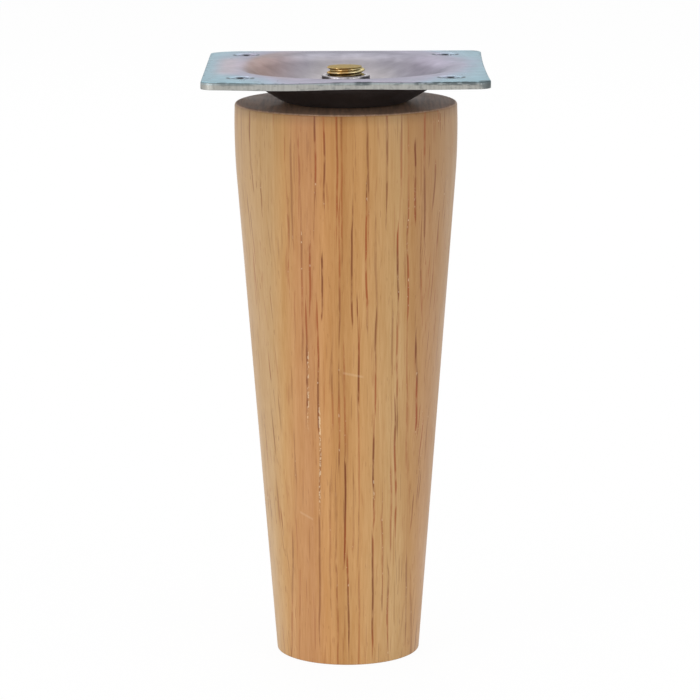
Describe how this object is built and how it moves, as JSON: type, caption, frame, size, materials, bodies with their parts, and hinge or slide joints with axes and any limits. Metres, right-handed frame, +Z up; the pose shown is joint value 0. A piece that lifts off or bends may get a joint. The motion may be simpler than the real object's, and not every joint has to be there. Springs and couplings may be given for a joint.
{
  "type": "tapered furniture leg with mounting plate",
  "caption": "Straight round tapered wooden furniture leg, screwed by a hanger bolt into the weld nut of a dished square steel mounting plate.",
  "frame": {"origin": "centre of the leg's foot, on the surface that it stands on", "axes": "+Z up along the leg to the mounting plate, +X and +Y along the plate's edges, -Y towards the picture's viewer"},
  "size_m": [0.0744, 0.0744, 0.1595],
  "materials": {
    "leg_wood": "turned, sanded and lacquered satin",
    "plate_steel": "pressed sheet, blue-bright zinc plated",
    "nut_steel": "forged, zinc plated",
    "bolt_steel": "rolled thread, yellow zinc plated"
  },
  "bodies": {
    "root": {"turned_leg": "leg_wood", "mounting_plate": "plate_steel", "weld_nut": "nut_steel", "hanger_bolt": "bolt_steel"}
  },
  "joints": []
}
